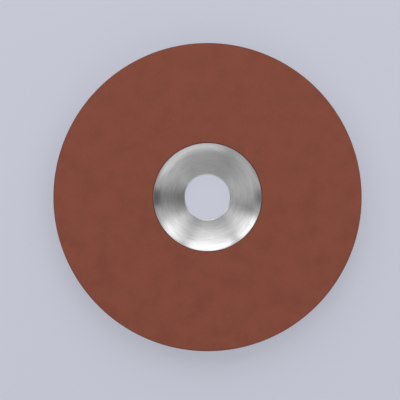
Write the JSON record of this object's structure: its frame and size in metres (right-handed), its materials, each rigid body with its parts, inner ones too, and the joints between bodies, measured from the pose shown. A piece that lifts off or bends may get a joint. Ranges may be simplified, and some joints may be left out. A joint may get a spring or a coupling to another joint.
{
  "type": "diamond grinding disc",
  "caption": "Round flat-faced grinding disc: a diamond abrasive ring bonded to a turned metal carrier that has a dished hub and a plain spindle bore.",
  "frame": {"origin": "centre of the spindle bore at the hub's back face, which seats on the grinder's flange and is also the face the disc lies on", "axes": "+Z along the spindle axis, out of the grinding face; the disc is round, so X and Y are alike"},
  "size_m": [0.15, 0.15, 0.0094],
  "materials": {
    "turned_metal": "satin",
    "diamond_abrasive": "matte"
  },
  "bodies": {
    "root": {"carrier": "turned_metal", "abrasive_ring": "diamond_abrasive"}
  },
  "joints": []
}
